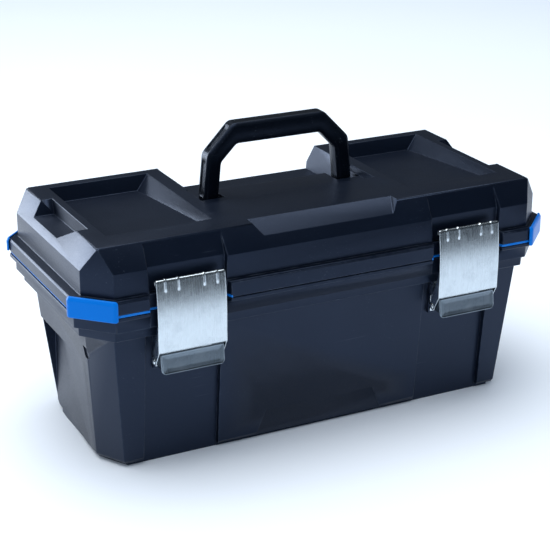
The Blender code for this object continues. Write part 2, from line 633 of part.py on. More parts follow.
def make_lid():
    lid = part("lid_shell", lid_outer(), BLACK, 0.45, origin=(0.0, HINGE_Y, SEAM_Z))
    cavity = helper("lid_cavity", lid_cavity())
    combine(lid, front_strip(), "DIFFERENCE", "strip")
    for side in (-1, 1):
        combine(lid, end_notch(side), "DIFFERENCE", f"notch_{side + 1}")
    for name, shape in (("well", handle_well), ("deck", deck_step)):
        combine(lid, shape(), "DIFFERENCE", name)
        combine(cavity, shape(WALL), "DIFFERENCE", name)
    for name, shape in (("channel", lid_channel), ("pocket", lid_pocket), ("slot", leg_slot)):
        for side in (-1, 1):
            combine(lid, shape(side), "DIFFERENCE", f"{name}_{side + 1}")
            combine(cavity, shape(side, WALL), "DIFFERENCE", f"{name}_{side + 1}")
    for side in (-1, 1):
        x0, x1 = sorted((side * (LID_TOP_LENGTH / 2 - NOTCH_DEEP - WALL), side * RIM_LENGTH / 2))
        low = LID_TOP_Z - NOTCH_DROP - WALL
        room = block(x0, x1, NOTCH_Y[0] - WALL, NOTCH_Y[1] + WALL, low, LID_TOP_Z)
        combine(cavity, room, "DIFFERENCE", f"notch_{side + 1}")
    strip = block(-STRIP_HALF, STRIP_HALF, -LID_TOP_DEPTH, -LID_TOP_DEPTH / 2 + STRIP_BACK,
                  LID_TOP_Z - STRIP_DROP - WALL, LID_TOP_Z)
    combine(cavity, strip, "DIFFERENCE", "strip")
    combine_object(lid, cavity, "DIFFERENCE", "hollow")
    skirt = between_latches(SKIRT_THICK, TUB_TOP_Z + GAP, LID_BOTTOM_Z + GAP)
    combine(lid, skirt, "UNION", "skirt")
    pin_in, pin_out = handle_pin_span()
    for side in (-1, 1):
        hole = rod_x(side * (pin_in - 0.001), side * (pin_out + 0.001), HANDLE_Y, HANDLE_PIVOT_Z,
                     HANDLE_PIN_R + PIN_PLAY)
        combine(lid, hole, "DIFFERENCE", f"pin_{side + 1}")
    add_knuckles(lid, "lid")


def make_bumpers():
    """Blue covers on the rim's four corners; the front pair reach below the seam."""
    length = RIM_CORNER * math.sqrt(2) + 2 * BUMPER_ARM
    for side, side_word in SIDES:
        for end, word in ((-1, "front"), (1, "rear")):
            low = LID_BOTTOM_Z if end > 0 else TUB_TOP_Z - BUMPER_SKIRT
            high = LEDGE_Z + 0.0010
            body = loft([rim_ring(low, BUMPER_OUT), rim_ring(high - BUMPER_TAPER, BUMPER_OUT),
                         rim_ring(high, BUMPER_OUT / 3)])
            obj = part(f"bumper_{word}_{side_word}", body, BLUE, 0.35, origin=(0.0, HINGE_Y, SEAM_Z))
            inside = loft([rim_ring(low - 0.01, GAP), rim_ring(high + 0.01, GAP)])
            combine(obj, inside, "DIFFERENCE", "rim")
            region = block(-length / 2, length / 2, -0.03, 0.03, low - 0.01, high + 0.01)
            middle = Vector((side * (RIM_LENGTH - RIM_CORNER) / 2, end * (RIM_DEPTH - RIM_CORNER) / 2, 0.0))
            turn = Matrix.Rotation(math.radians(45.0 * -side * end), 4, "Z")
            bmesh.ops.transform(region, matrix=Matrix.Translation(middle) @ turn, verts=region.verts)
            combine(obj, region, "INTERSECT", "corner")


# ---- hinges and handle --------------------------------------------------------
def make_hinge_pins():
    reach = KNUCKLE_LID / 2 + KNUCKLE_TUB - 0.0005
    for side, word in SIDES:
        centre = side * HINGE_X
        pin = rod_x(centre - reach, centre + reach, HINGE_Y, SEAM_Z, HINGE_PIN_R, 16)
        part(f"hinge_pin_{word}", pin, ZINC, 0.3, 1.0)


def handle_pin_span():
    inner = HANDLE_LENGTH / 2 - LEG_WIDTH - SLOT_SIDE / 2 - WALL
    return inner, WELL_HALF + WALL


def handle_outline():
    """Half of the bail seen from the front, from the leg's inner side round to the top."""
    outer, pivot = HANDLE_LENGTH / 2, HANDLE_PIVOT_Z
    inner = outer - LEG_WIDTH
    middle = (outer + inner) / 2
    foot = arc((middle, pivot), LEG_WIDTH / 2, 180, 360, 8)
    knee = pivot + 0.014
    top = HANDLE_TOP_Z
    outside = foot + [(outer, knee), (outer - 0.004, top - 0.029), (outer - 0.032, top)]
    inside = [(inner - 0.020, top - HANDLE_BAR), (inner - 0.003, top - 0.038), (inner, knee)]
    return outside, inside


def make_handle():
    right_out, right_in = handle_outline()
    half = right_in + right_out
    outline = half + [(-x, z) for x, z in half[::-1]]
    bm = prism(outline, "y", HANDLE_Y - HANDLE_THICK / 2, HANDLE_Y + HANDLE_THICK / 2)
    obj = part("handle_bail", bm, BLACK_GRIP, 0.38, origin=(0.0, HANDLE_Y, HANDLE_PIVOT_Z))
    bevel = obj.modifiers.new("edges", "BEVEL")
    bevel.width = HANDLE_CHAMFER
    bevel.segments = 1
    bevel.limit_method = "ANGLE"
    bevel.angle_limit = math.radians(60)
    pin_in, pin_out = handle_pin_span()
    for side, word in SIDES:
        hole = rod_x(side * (pin_in - 0.002), side * (pin_out + 0.002), HANDLE_Y, HANDLE_PIVOT_Z,
                     HANDLE_PIN_R + PIN_PLAY)
        combine(obj, hole, "DIFFERENCE", f"hole_{word}")
        pin = rod_x(side * pin_in, side * pin_out, HANDLE_Y, HANDLE_PIVOT_Z, HANDLE_PIN_R)
        part(f"handle_pin_{word}", pin, ZINC, 0.3, 1.0)


# ---- latches ------------------------------------------------------------------
def at_seam(out, up):
    """A point (y, z) given by its distance outside the rim's front and above the seam."""
    return -RIM_DEPTH / 2 - out, SEAM_Z + up


def bore_x(obj, centre, y, z, name):
    """Bore a hole for one of the latch's pins."""
    drill = rod_x(centre - BORE_REACH, centre + BORE_REACH, y, z, LATCH_PIN_R + PIN_PLAY, 16)
    combine(obj, drill, "DIFFERENCE", name)


def make_bracket(side, word):
    centre = side * LATCH_X
    back = PAD_Y - GAP
    low, high = BRACKET_Z
    plate = block(centre - BRACKET_HALF, centre + BRACKET_HALF, back - FLAP_SHEET, back, low, high)
    obj = part(f"latch_{word}_bracket", plate, ZINC, 0.32, 1.0)
    ear = [(back, high), (back, high - 0.016)] + arc((PIVOT_Y, PIVOT_Z), EAR_R, 285, 75, 10)
    for i, x in enumerate((centre - BRACKET_HALF, centre + BRACKET_HALF - FLAP_SHEET)):
        combine(obj, prism(ear, "x", x, x + FLAP_SHEET), "UNION", f"ear_{i}")
    bore_x(obj, centre, PIVOT_Y, PIVOT_Z, "pivot_bore")
    for i, x in enumerate(rivet_spots(side)):
        hole = rod((x, back - 2 * SHEET, RIVET_Z), (x, back + SHEET, RIVET_Z), RIVET_R + PIN_PLAY, 12)
        combine(obj, hole, "DIFFERENCE", f"rivet_{i}")


def make_lever(side, word):
    """The flap that the fingers pull, with ears bent back to both pins."""
    centre = side * LATCH_X
    flap = [at_seam(0.0002, -0.0445), at_seam(0.0026, -0.0630), at_seam(0.0029, -0.0645)]
    sheet = prism(strip_outline(flap, FLAP_SHEET), "x", centre - FLAP_HALF, centre + FLAP_HALF)
    obj = part(f"latch_{word}_lever", sheet, ZINC, 0.34, 1.0, origin=(centre, PIVOT_Y, PIVOT_Z))
    ear = [at_seam(0.0, -0.0450)] + arc((PIVOT_Y, PIVOT_Z), EAR_R, 130, 0, 8)
    ear += arc((HOOK_PIN_Y, HOOK_PIN_Z), EAR_R, 0, -100, 6) + [at_seam(0.0020, -0.0600)]
    for i, x in enumerate((centre - FLAP_HALF, centre + FLAP_HALF - FLAP_SHEET)):
        combine(obj, prism(ear, "x", x, x + FLAP_SHEET), "UNION", f"ear_{i}")
    bore_x(obj, centre, PIVOT_Y, PIVOT_Z, "pivot_bore")
    bore_x(obj, centre, HOOK_PIN_Y, HOOK_PIN_Z, "hook_bore")


# the hook plate's middle line from its lower edge over the top to the tip, outside the rim and above the seam
HOOK_LINE = ((0.0021, -0.0425), (0.0027, -0.0340), (0.0030, -0.0240), (0.0030, -0.0140), (0.0026, -0.0040),
             (0.0019, 0.0060), (0.0008, 0.0160), (-0.0006, 0.0245), (-0.0020, 0.0272), (-0.0034, 0.0272),
             (-0.0042, 0.0258), (-0.0043, 0.0230))


def make_hook(side, word):
    """The curved plate that draws the lid down, with side arms to its pin."""
    centre = side * LATCH_X
    line = [at_seam(*point) for point in HOOK_LINE]
    sheet = prism(strip_outline(line, SHEET), "x", centre - HOOK_HALF, centre + HOOK_HALF)
    obj = part(f"latch_{word}_hook", sheet, ZINC, 0.28, 1.0, origin=(centre, HOOK_PIN_Y, HOOK_PIN_Z))
    arm = [at_seam(0.0034, -0.0150), at_seam(0.0026, -0.0425), at_seam(0.0, -0.0510)]
    arm += arc((HOOK_PIN_Y, HOOK_PIN_Z), EAR_R - GAP, 250, 400, 8)
    arm += [at_seam(-0.0030, -0.0400), at_seam(0.0, -0.0310), at_seam(0.0020, -0.0150)]
    for i, x in enumerate((centre - HOOK_HALF, centre + HOOK_HALF - SHEET)):
        combine(obj, prism(arm, "x", x, x + SHEET), "UNION", f"arm_{i}")
    bore_x(obj, centre, HOOK_PIN_Y, HOOK_PIN_Z, "bore")


def make_latch_pins(side, word):
    centre = side * LATCH_X
    reach = FLAP_HALF + 0.0008
    pivot = rod_x(centre - reach, centre + reach, PIVOT_Y, PIVOT_Z, LATCH_PIN_R, 16)
    part(f"latch_{word}_pivot_pin", pivot, ZINC, 0.3, 1.0)
    head_in, head_out = HOOK_HALF + GAP, HOOK_HALF + GAP + PIN_HEAD
    shank = rod_x(centre - head_out, centre + head_out, HOOK_PIN_Y, HOOK_PIN_Z, LATCH_PIN_R, 16)
    pin = part(f"latch_{word}_hook_pin", shank, ZINC, 0.3, 1.0, origin=(centre, HOOK_PIN_Y, HOOK_PIN_Z))
    for i, (x0, x1) in enumerate(((-head_out, -head_in), (head_in, head_out))):
        head = rod_x(centre + x0, centre + x1, HOOK_PIN_Y, HOOK_PIN_Z, PIN_HEAD_R, 16)
        combine(pin, head, "UNION", f"head_{i}")
    for x, place in zip(rivet_spots(side), ("a", "b")):
        front = PAD_Y - GAP - FLAP_SHEET - GAP
        shaft = rod((x, front - 0.0005, RIVET_Z), (x, PAD_Y + 0.008, RIVET_Z), RIVET_R, 12)
        rivet = part(f"latch_{word}_rivet_{place}", shaft, ZINC, 0.3, 1.0)
        head = rod((x, front, RIVET_Z), (x, front - RIVET_HEAD, RIVET_Z), RIVET_HEAD_R, 16)
        combine(rivet, head, "UNION", "head")


# ---- tray ---------------------------------------------------------------------
TRAY_TUB = (tub_wall_x(TRAY_STEP_Z) - WALL - 0.005, tub_wall_y(TRAY_STEP_Z) - WALL - 0.0065)
TRAY_LOW = (tub_wall_x(TRAY_BOTTOM_Z) - WALL - 0.018, tub_wall_y(TRAY_BOTTOM_Z) - WALL - 0.0085)
TRAY_FLOOR_Z = TRAY_BOTTOM_Z + TRAY_WALL
TRAY_TOP_Z = TRAY_STEP_Z + GAP + TRAY_RIM
DIVIDER_TOP_Z = TRAY_STEP_Z - 0.003


def tray_half_y(z):
    """Half depth of the tray's inside at height z."""
    share = (z - TRAY_FLOOR_Z) / (TRAY_TOP_Z - TRAY_FLOOR_Z)
    return TRAY_LOW[1] + (TRAY_TUB[1] - TRAY_LOW[1]) * share - TRAY_WALL


def add_divider_ribs(tray, side, word):
    """Two pairs of ribs that hold a divider's ends."""
    near_x = DIVIDER_THICK / 2 + GAP
    inner, outer = tray_half_y(TRAY_FLOOR_Z) - 0.005, tray_half_y(DIVIDER_TOP_Z) + GAP
    for i, (x, y) in enumerate(((-1, -1), (1, -1), (-1, 1), (1, 1))):
        near, far = sorted(side * DIVIDER_X + x * reach for reach in (near_x, near_x + RIB))
        wall_y = sorted((y * inner, y * outer))
        rib = block(near, far, *wall_y, TRAY_FLOOR_Z - TRAY_WALL / 2, DIVIDER_TOP_Z)
        combine(tray, rib, "UNION", f"rib_{word}_{i}")


def add_handle_lug(tray, side, word):
    """The upright lug that holds one stub pin of the tray's handle."""
    near = TRAY_HANDLE_HALF + 2 * GAP
    lug_x = sorted((side * near, side * (near + LUG_THICK)))
    lug = block(*lug_x, -LUG_HALF, LUG_HALF, TRAY_FLOOR_Z - TRAY_WALL / 2, TRAY_PIVOT_Z + 0.006)
    combine(tray, lug, "UNION", f"lug_{word}")
    reach = near + LUG_THICK + GAP
    hole = rod_x(side * TRAY_HANDLE_HALF, side * reach, 0.0, TRAY_PIVOT_Z, TRAY_STUB_R + PIN_PLAY, 16)
    combine(tray, hole, "DIFFERENCE", f"hole_{word}")


def make_tray():
    corner = (0.022, 0.034)
    rim = (MOUTH[0] - TRAY_PLAY, MOUTH[1] - TRAY_PLAY, 0.023, 0.030)
    low, high = TRAY_STEP_Z + GAP, TRAY_TOP_Z
    wall = TRAY_WALL
    outside = [(*TRAY_LOW, *corner, TRAY_BOTTOM_Z), (*TRAY_TUB, *corner, low), (*rim, low), (*rim, high)]
    inside = [(TRAY_TUB[0] - wall, TRAY_TUB[1] - wall, *corner, high),
              (TRAY_LOW[0] - wall, TRAY_LOW[1] - wall, *corner, TRAY_FLOOR_Z)]
    tray = part("tray_shell", loft(outside + inside), GREY, 0.5)
    half = DIVIDER_THICK / 2
    low_y, high_y = tray_half_y(TRAY_FLOOR_Z) - GAP, tray_half_y(DIVIDER_TOP_Z) - GAP
    outline = [(-low_y, TRAY_FLOOR_Z + GAP), (low_y, TRAY_FLOOR_Z + GAP),
               (high_y, DIVIDER_TOP_Z), (-high_y, DIVIDER_TOP_Z)]
    for side, word in SIDES:
        add_divider_ribs(tray, side, word)
        add_handle_lug(tray, side, word)
        centre = side * DIVIDER_X
        part(f"tray_divider_{word}", prism(outline, "x", centre - half, centre + half), BLUE, 0.45)


def make_tray_handle():
    """A bail that lies flat towards the rear, with a stub pin at the end of each leg."""
    half, reach, radius, z = TRAY_HANDLE_HALF, TRAY_HANDLE_REACH, TRAY_HANDLE_R, TRAY_PIVOT_Z
    grip = block(-half, half, reach - TRAY_HANDLE_BAR, reach, z - radius, z + radius)
    obj = part("tray_handle", grip, BLUE, 0.45, origin=(0.0, 0.0, TRAY_PIVOT_Z))
    leg_y = reach - TRAY_HANDLE_BAR / 2
    leg = [(leg_y, z - radius)] + arc((0.0, z), radius, 270, 90, 8) + [(leg_y, z + radius)]
    for side, word in SIDES:
        x0, x1 = sorted((side * half, side * (half - TRAY_HANDLE_LEG)))
        combine(obj, prism(leg, "x", x0, x1), "UNION", f"leg_{word}")
        stub_x = side * (half - TRAY_HANDLE_LEG / 4), side * (half + LUG_THICK)
        combine(obj, rod_x(*stub_x, 0.0, z, TRAY_STUB_R, 16), "UNION", f"stub_{word}")


def main():
    make_tub()
    make_seal()
    make_lid()
    make_bumpers()
    make_hinge_pins()
    make_handle()
    for side, word in SIDES:
        make_bracket(side, word)
        make_lever(side, word)
        make_hook(side, word)
        make_latch_pins(side, word)
    make_tray()
    make_tray_handle()


main()
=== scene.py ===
"""Looks of the toolbox: softened plastic mouldings, zinc draw latches, blue corners and tray fittings.

Metres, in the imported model's frame.  X runs along the box, -Y is the front, and the lid is shut at rest.
Every surface is worked out here as a function of two parameters, apart from seven mouldings: the tub, the
lid, the seal, the tray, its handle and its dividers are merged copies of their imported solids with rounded
edges.
"""

import math

import bmesh
import bpy
import numpy as np
from mathutils import Matrix, Vector


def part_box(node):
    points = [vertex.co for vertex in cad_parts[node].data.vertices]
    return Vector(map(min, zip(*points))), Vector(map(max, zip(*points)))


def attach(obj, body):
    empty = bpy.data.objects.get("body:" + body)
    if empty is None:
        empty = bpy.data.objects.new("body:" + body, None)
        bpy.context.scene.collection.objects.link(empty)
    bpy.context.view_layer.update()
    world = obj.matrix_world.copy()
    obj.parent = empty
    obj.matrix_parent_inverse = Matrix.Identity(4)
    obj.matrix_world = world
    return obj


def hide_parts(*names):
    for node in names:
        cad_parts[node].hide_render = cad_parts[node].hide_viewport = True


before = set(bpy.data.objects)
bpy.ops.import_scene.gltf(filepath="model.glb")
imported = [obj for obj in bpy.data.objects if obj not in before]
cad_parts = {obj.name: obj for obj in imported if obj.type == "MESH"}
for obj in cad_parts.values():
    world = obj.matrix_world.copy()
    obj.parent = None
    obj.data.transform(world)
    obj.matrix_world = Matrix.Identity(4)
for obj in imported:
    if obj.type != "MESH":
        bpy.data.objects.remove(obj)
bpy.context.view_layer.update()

MERGE = 1e-6            # points nearer than this are one point
SIDES = ((-1, "left"), (1, "right"))


# ---- meshes -------------------------------------------------------------------
def grid_faces(rows, columns, closed_rows, closed_columns):
    """Corner numbers of the four-sided cells of a grid whose points are stored row by row."""
    i = np.arange(rows if closed_rows else rows - 1)
    j = np.arange(columns if closed_columns else columns - 1)
    i, j = (part.ravel() for part in np.meshgrid(i, j, indexing="ij"))
    next_i, next_j = (i + 1) % rows, (j + 1) % columns
    return np.stack([i * columns + j, next_i * columns + j,
                     next_i * columns + next_j, i * columns + next_j], axis=1)


def solid(*grids):
    """One closed shell from grids of points that meet along their edges.

    Each grid is (points of shape rows, columns, 3; closed_rows; closed_columns).  Points that meet
    are merged, cells that shrank to nothing are dropped, and the faces are turned outwards.
    """
    points, faces, start = [], [], 0
    for grid, closed_rows, closed_columns in grids:
        rows, columns, _ = grid.shape
        points.append(grid.reshape(-1, 3))
        faces.append(grid_faces(rows, columns, closed_rows, closed_columns) + start)
        start += rows * columns
    mesh = bpy.data.meshes.new("shell")
    mesh.from_pydata(np.concatenate(points), [], np.concatenate(faces))
    bm = bmesh.new()
    bm.from_mesh(mesh)
    bpy.data.meshes.remove(mesh)
    bmesh.ops.remove_doubles(bm, verts=bm.verts, dist=MERGE)
    bmesh.ops.dissolve_degenerate(bm, edges=bm.edges, dist=MERGE)
    bmesh.ops.recalc_face_normals(bm, faces=bm.faces)
    return bm


def piece(name, shells, look, body, replaced=(), crease=40.0):
    """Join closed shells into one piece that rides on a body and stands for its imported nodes."""
    joined = bmesh.new()
    for shell in shells:
        mesh = bpy.data.meshes.new("shell")
        shell.to_mesh(mesh)
        shell.free()
        joined.from_mesh(mesh)
        bpy.data.meshes.remove(mesh)
    mesh = bpy.data.meshes.new(name)
    joined.to_mesh(mesh)
    joined.free()
    mesh.shade_smooth()
    mesh.set_sharp_from_angle(angle=math.radians(crease))
    mesh.materials.append(look)
    obj = bpy.data.objects.new(name, mesh)
    bpy.context.scene.collection.objects.link(obj)
    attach(obj, body)
    if replaced:
        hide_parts(*replaced)
    return obj


SOLE_HIGH = 0.0065          # edges that reach below this aren't rounded


def softened(name, node, width, look, body, segments=3, least_angle=20.0, shortest=0.003):
    """A merged copy of a packed moulding whose long edges are rounded.

    Loose triangles are merged, faces in one plane are joined, and each edge that is longer than
    `shortest` and turns by more than `least_angle` gets a round of `segments` steps.  Edges that
    end among edges too short for the round, or that touch the foot's sole, stay sharp.
    """
    bm = bmesh.new()
    bm.from_mesh(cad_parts[node].data)
    bmesh.ops.remove_doubles(bm, verts=bm.verts, dist=MERGE)
    bmesh.ops.dissolve_limit(bm, angle_limit=math.radians(0.3), verts=bm.verts, edges=bm.edges,
                             use_dissolve_boundaries=False)
    bmesh.ops.dissolve_degenerate(bm, edges=bm.edges, dist=MERGE * 10)
    for layer in list(bm.loops.layers.uv):
        bm.loops.layers.uv.remove(layer)
    weight = bm.edges.layers.float.new("bevel_weight_edge")
    crowded = {vert for edge in bm.edges if edge.calc_length() < 2.0 * width for vert in edge.verts}
    crowded |= {vert for vert in bm.verts if vert.co.z < SOLE_HIGH}
    for edge in bm.edges:
        turns = edge.is_manifold and edge.calc_face_angle() > math.radians(least_angle)
        clear = edge.calc_length() > shortest and not crowded.intersection(edge.verts)
        edge[weight] = 1.0 if turns and clear else 0.0
    obj = piece(name, [bm], look, body, [node], crease=25.0)
    bevel = obj.modifiers.new("rounded_edges", "BEVEL")
    bevel.limit_method = "WEIGHT"
    bevel.width = width
    bevel.segments = segments
    bevel.use_clamp_overlap = False
    bevel.harden_normals = True
    bevel.miter_outer = "MITER_SHARP"
    return obj


# ---- shapes -------------------------------------------------------------------
def hull_outline(discs, steps=96):
    """The outline pulled tight round discs (a, b, radius): points and outward directions.

    For each direction the point is that of the disc that reaches farthest along it.
    """
    turn = np.linspace(0.0, 2.0 * math.pi, steps, endpoint=False)
    away = np.stack([np.cos(turn), np.sin(turn)], axis=1)
    centres, radii = np.array(discs)[:, :2], np.array(discs)[:, 2]
    reach = away @ centres.T + radii
    chosen = reach.argmax(axis=1)
    return centres[chosen] + radii[chosen, None] * away, away


def placed(along, flat, axis):
    """Points from a place along an axis and a place (a, b) across it; axis 0, 1 or 2 is x, y or z."""
    points = np.empty(flat.shape[:-1] + (3,))
    others = [k for k in range(3) if k != axis]
    points[..., axis] = along
    points[..., others[0]] = flat[..., 0]
    points[..., others[1]] = flat[..., 1]
    return points


def plate(discs, start, end, edge, axis=0, steps=96):
    """A plate with a tight outline round discs and rims rounded by a quarter circle.

    At rim angle a the outline is drawn in by edge·(1 - sin a), and lies edge·(1 - cos a) from the face.
    """
    outline, away = hull_outline(discs, steps)
    quarter = np.linspace(0.0, math.pi / 2, 4)
    inset = edge * (1.0 - np.sin(quarter))
    depth = edge * (1.0 - np.cos(quarter))
    inset = np.concatenate([inset, inset[::-1]])
    along = np.concatenate([start + depth, (end - depth)[::-1]])
    middle = np.broadcast_to(outline.mean(axis=0), (1,) + outline.shape)
    flat = outline[None] - inset[:, None, None] * away[None]
    flat = np.concatenate([middle, flat, middle])
    along = np.concatenate([[start], along, [end]])
    return solid((placed(along[:, None], flat, axis), False, True))


def bar(low, high, radius, axis=0, edge=None):
    """A straight bar with rounded corners between two opposite corners."""
    across = [k for k in range(3) if k != axis]
    corners = [(a, b, radius) for a in (low[across[0]] + radius, high[across[0]] - radius)
               for b in (low[across[1]] + radius, high[across[1]] - radius)]
    return plate(corners, low[axis], high[axis], radius if edge is None else edge, axis, steps=48)


def turned(profile, centre, axis=0, sides=40):
    """A turned piece: a profile of (place along the axis, radius) swept once round it."""
    profile = np.array(profile)
    turn = np.linspace(0.0, 2.0 * math.pi, sides, endpoint=False)
    flat = profile[:, 1, None, None] * np.stack([np.cos(turn), np.sin(turn)], axis=1)[None]
    points = placed(profile[:, 0, None], flat, axis)
    return solid((points + np.array(centre), False, True))


def pin(start, end, radius, centre, head=0.0, head_high=0.0, axis=0):
    """A pin with chamfered ends, or with a domed head at each end.

    A head's radius falls from `head` to nothing as the cosine of the way up it.
    """
    if not head:
        chamfer = radius / 4
        profile = [(start, 0.0), (start, radius - chamfer), (start + chamfer, radius),
                   (end - chamfer, radius), (end, radius - chamfer), (end, 0.0)]
        return turned(profile, centre, axis)
    rise = np.linspace(0.0, math.pi / 2, 7)
    dome = np.stack([head_high * np.sin(rise), head * np.cos(rise) ** 0.7], axis=1)
    dome[-1, 1] = 0.0
    left = [(start + head_high - high, wide) for high, wide in dome[::-1]]
    right = [(end - head_high + high, wide) for high, wide in dome]
    return turned(left + [(start + head_high, radius), (end - head_high, radius)] + right, centre, axis)


def rounded_line(corners, radius, steps=6, spacing=0.004):
    """A line through corners, each rounded as a parabola between points `radius` before and after it."""
    corners = np.array(corners, float)
    share = np.linspace(0.0, 1.0, steps + 1)[:, None]
    parts = [corners[:1]]
    for before, corner, after in zip(corners, corners[1:], corners[2:]):
        back, ahead = before - corner, after - corner
        reach = min(radius, np.linalg.norm(back) * 0.45, np.linalg.norm(ahead) * 0.45)
        enter = corner + back / np.linalg.norm(back) * reach
        leave = corner + ahead / np.linalg.norm(ahead) * reach
        parts.append((1 - share) ** 2 * enter + 2 * share * (1 - share) * corner + share ** 2 * leave)
    parts.append(corners[-1:])
    line = np.concatenate(parts)
    filled = [line[:1]]
    for start, end in zip(line, line[1:]):
        count = max(1, int(round(np.linalg.norm(end - start) / spacing)))
        filled.append(start + (end - start) * np.linspace(0.0, 1.0, count + 1)[1:, None])
    return np.concatenate(filled)


def line_normals(line):
    """Unit normals of a flat line, a quarter turn clockwise from its direction."""
    tangent = np.gradient(line, axis=0)
    tangent /= np.linalg.norm(tangent, axis=1)[:, None]
    return np.stack([tangent[:, 1], -tangent[:, 0]], axis=1)


def from_edges(length, radius, count):
    """Places from 0 to length: close together within `radius` of both ends, evenly between."""
    near = radius * (1.0 - np.cos(np.linspace(0.0, math.pi / 2, 5)))
    return np.concatenate([near, np.linspace(radius, length - radius, count)[1:-1], length - near[::-1]])


def resampled(line, places):
    """The points of a line at given shares of its length."""
    steps = np.linalg.norm(np.diff(line, axis=0), axis=1)
    length = np.concatenate([[0.0], np.cumsum(steps)])
    places = np.asarray(places) * length[-1]
    return np.stack([np.interp(places, length, line[:, k]) for k in range(line.shape[1])], axis=1)


def bent_sheet(line, width, thick, axis=0, centre=0.0, relief=None, corners=(0.0, 0.0), rows=60, columns=60):
    """A sheet bent along a line and carried across an axis, closed by half-round edges.

    A point is line(v) + width·u/2 across, moved along the line's normal by half the thickness, which
    falls to nothing at the edges like a half circle, plus the relief at (u, v).  Towards the line's
    start and end the width shrinks as a quarter circle of radius `corners`.
    """
    length = np.linalg.norm(np.diff(line, axis=0), axis=1).sum()
    along = from_edges(length, thick / 2, rows)
    middle = resampled(line, along / length)
    normal = line_normals(middle)
    across = from_edges(width, thick / 2, columns) - width / 2
    drawn_in = 0.0
    for corner, distance in zip(corners, (along, length - along)):
        near = np.clip(distance, 0.0, corner)
        drawn_in = drawn_in + corner - np.sqrt(np.maximum(corner ** 2 - (corner - near) ** 2, 0.0))
    across = across[None, :] * (1.0 - 2 * drawn_in[:, None] / width)
    side_gap = width / 2 - drawn_in[:, None] - np.abs(across)
    gap = np.minimum(side_gap, np.minimum(along, length - along)[:, None])
    share = np.clip(gap / (thick / 2), 0.0, 1.0)
    half = thick / 2 * np.sqrt(1.0 - (1.0 - share) ** 2)
    raised = relief(across, along[:, None], length, gap) if relief else 0.0
    grids = []
    for way in (1.0, -1.0):
        flat = middle[:, None, :] + normal[:, None, :] * (way * half + raised)[..., None]
        grids.append((placed(centre + across, flat, axis), False, False))
    return solid(*grids)


def smooth_step(value, low, high):
    """Rises from 0 at low to 1 at high as 3t² - 2t³."""
    share = np.clip((value - low) / (high - low), 0.0, 1.0)
    return share * share * (3.0 - 2.0 * share)


# ---- material groups ------------------------------------------------------------
class Graph:
    """A node tree with short ways to add and join nodes."""

    def __init__(self, tree):
        self.tree = tree

    def add(self, kind, inputs=None, **settings):
        node = self.tree.nodes.new(kind)
        for key, value in settings.items():
            setattr(node, key, value)
        for key, value in (inputs or {}).items():
            self.set(node, key, value)
        return node

    def set(self, node, key, value):
        socket = node.inputs[key]
        if isinstance(value, bpy.types.NodeSocket):
            self.tree.links.new(value, socket)
        else:
            socket.default_value = value

    def math(self, operation, first, second=0.0, clamp=False):
        node = self.add("ShaderNodeMath", {0: first, 1: second}, operation=operation, use_clamp=clamp)
        return node.outputs[0]

    def ramp(self, value, low, high, start=0.0, end=1.0):
        """A straight rise from `start` at low to `end` at high, clamped."""
        node = self.add("ShaderNodeMapRange", {"Value": value, "From Min": low, "From Max": high,
                                               "To Min": start, "To Max": end})
        return node.outputs["Result"]

    def mix(self, share, first, second):
        node = self.add("ShaderNodeMix", data_type="RGBA")
        self.set(node, 0, share)
        self.set(node, 6, first)
        self.set(node, 7, second)
        return node.outputs[2]

    def noise(self, where, scale, detail=2.0, roughness=0.5, distortion=0.0):
        node = self.add("ShaderNodeTexNoise", {"Vector": where, "Scale": scale, "Detail": detail,
                                               "Roughness": roughness, "Distortion": distortion})
        return node.outputs["Fac"]

    def object_place(self):
        return self.add("ShaderNodeTexCoord").outputs["Object"]


def new_group(name, inputs, outputs):
    """An empty shader group with named sockets; returns it with its graph and both end nodes."""
    group = bpy.data.node_groups.new(name, "ShaderNodeTree")
    for key, value in inputs.items():
        socket = group.interface.new_socket(name=key, in_out="INPUT", socket_type="NodeSocketFloat")
        socket.default_value = value
    for key, kind in outputs.items():
        group.interface.new_socket(name=key, in_out="OUTPUT", socket_type=kind)
    graph = Graph(group)
    return group, graph, graph.add("NodeGroupInput"), graph.add("NodeGroupOutput")


FLOAT = "NodeSocketFloat"


def moulded_grain_group():
    """The eroded texture of an injection mould: rounded grains with a finer one between them."""
    group, graph, inputs, outputs = new_group(
        "moulded_grain", {"Grain Size": 0.0009, "Depth": 1.0}, {"Height": FLOAT, "Pores": FLOAT})
    where = graph.object_place()
    scale = graph.math("DIVIDE", 1.0, inputs.outputs["Grain Size"])
    cells = graph.add("ShaderNodeTexVoronoi", {"Vector": where, "Scale": scale}, feature="SMOOTH_F1")
    fine = graph.noise(where, graph.math("MULTIPLY", scale, 1.7), 3.0, 0.6)
    height = graph.math("ADD", graph.math("MULTIPLY", cells.outputs["Distance"], 0.7), fine)
    graph.set(outputs, "Height", graph.math("MULTIPLY", height, inputs.outputs["Depth"]))
    graph.set(outputs, "Pores", graph.ramp(cells.outputs["Distance"], 0.15, 0.75))
    return group


